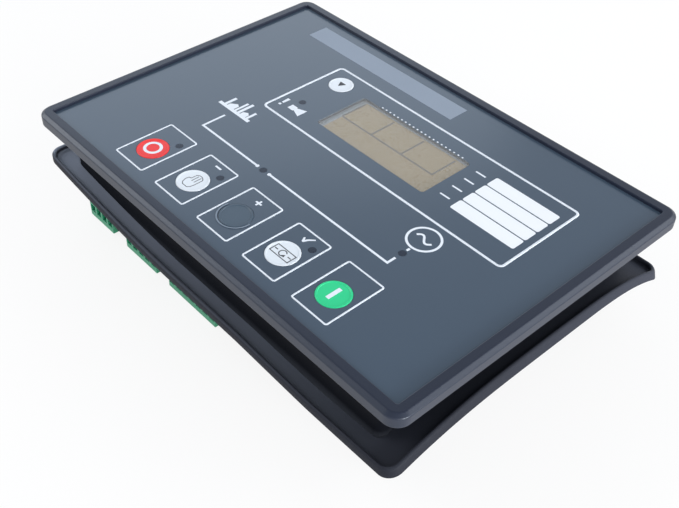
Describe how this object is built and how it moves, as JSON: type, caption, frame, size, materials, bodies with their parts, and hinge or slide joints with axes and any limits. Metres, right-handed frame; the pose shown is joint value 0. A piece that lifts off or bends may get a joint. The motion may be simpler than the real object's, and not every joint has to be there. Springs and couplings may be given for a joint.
{
  "type": "generator set controller",
  "caption": "Panel-mount generator set controller: lipped bezel with a film front, sprung keys, display window, loose rubber gasket and green plug-in terminals.",
  "frame": {"origin": "middle of the rear face, which the controller lies on", "axes": "+X along the front's width to the right, +Y to the front's top edge, +Z out of the front"},
  "size_m": [0.244, 0.172, 0.057],
  "materials": {
    "black_moulding": "satin moulded plastic with fine grain",
    "slate_film": "satin printed polyester film",
    "clear_window": "clear plastic window",
    "white_label": "blank white label strip",
    "smoked_lens": "dark translucent lens",
    "plated_steel": "zinc plated",
    "black_rubber": "matt moulded rubber",
    "board_laminate": "green solder resist",
    "white_plastic": "satin",
    "black_plastic": "satin",
    "display_glass": "unlit khaki liquid crystal glass",
    "capacitor_can": "sleeved can",
    "copper_winding": "enamelled wire",
    "green_plastic": "satin moulded green plastic",
    "brass_pin": "tinned",
    "red_key": "printed satin film",
    "white_key": "printed satin film",
    "slate_key": "printed satin film",
    "green_key": "printed satin film"
  },
  "bodies": {
    "housing": {"front_bezel": "black_moulding", "case_body": "black_moulding", "rear_cover": "black_moulding", "front_film": "slate_film", "display_window": "clear_window", "label_strips": "white_label", "lamp_lenses": "smoked_lens", "case_screws": "plated_steel", "panel_gasket": "black_rubber", "front_board": "board_laminate", "front_board_screws": "plated_steel", "lamps": "white_plastic", "key_switches": "black_plastic", "processor": "black_plastic", "display_glass": "display_glass", "display_holder": "black_plastic", "backlight": "white_plastic", "power_board": "board_laminate", "power_board_screws": "plated_steel", "board_link": "black_plastic", "relays": "black_plastic", "sensing_transformers": "black_plastic", "supply_capacitors": "capacitor_can", "supply_choke": "copper_winding", "terminal_socket_a": "green_plastic", "terminal_socket_b": "green_plastic", "terminal_socket_c": "green_plastic", "socket_pins": "brass_pin", "terminal_plug_a": "green_plastic", "terminal_plug_b": "green_plastic", "terminal_plug_c": "green_plastic", "terminal_clamps": "plated_steel", "terminal_screws": "plated_steel"},
    "stop_key": {"key_stop": "red_key", "plunger_stop": "white_plastic"},
    "manual_key": {"key_manual": "white_key", "plunger_manual": "white_plastic"},
    "spare_key": {"key_spare": "slate_key", "plunger_spare": "white_plastic"},
    "auto_key": {"key_auto": "white_key", "plunger_auto": "white_plastic"},
    "start_key": {"key_start": "green_key", "plunger_start": "white_plastic"},
    "scroll_key": {"key_scroll": "white_key", "plunger_scroll": "white_plastic"}
  },
  "joints": [
    {"name": "stop_key_press", "type": "slide", "parent": "housing", "child": "stop_key", "axis": [0, 0, -1], "range_m": [0, 0.0005], "stiffness_N_per_m": 3000},
    {"name": "manual_key_press", "type": "slide", "parent": "housing", "child": "manual_key", "axis": [0, 0, -1], "range_m": [0, 0.0005], "stiffness_N_per_m": 3000},
    {"name": "spare_key_press", "type": "slide", "parent": "housing", "child": "spare_key", "axis": [0, 0, -1], "range_m": [0, 0.0005], "stiffness_N_per_m": 3000},
    {"name": "auto_key_press", "type": "slide", "parent": "housing", "child": "auto_key", "axis": [0, 0, -1], "range_m": [0, 0.0005], "stiffness_N_per_m": 3000},
    {"name": "start_key_press", "type": "slide", "parent": "housing", "child": "start_key", "axis": [0, 0, -1], "range_m": [0, 0.0005], "stiffness_N_per_m": 3000},
    {"name": "scroll_key_press", "type": "slide", "parent": "housing", "child": "scroll_key", "axis": [0, 0, -1], "range_m": [0, 0.0005], "stiffness_N_per_m": 3000}
  ]
}
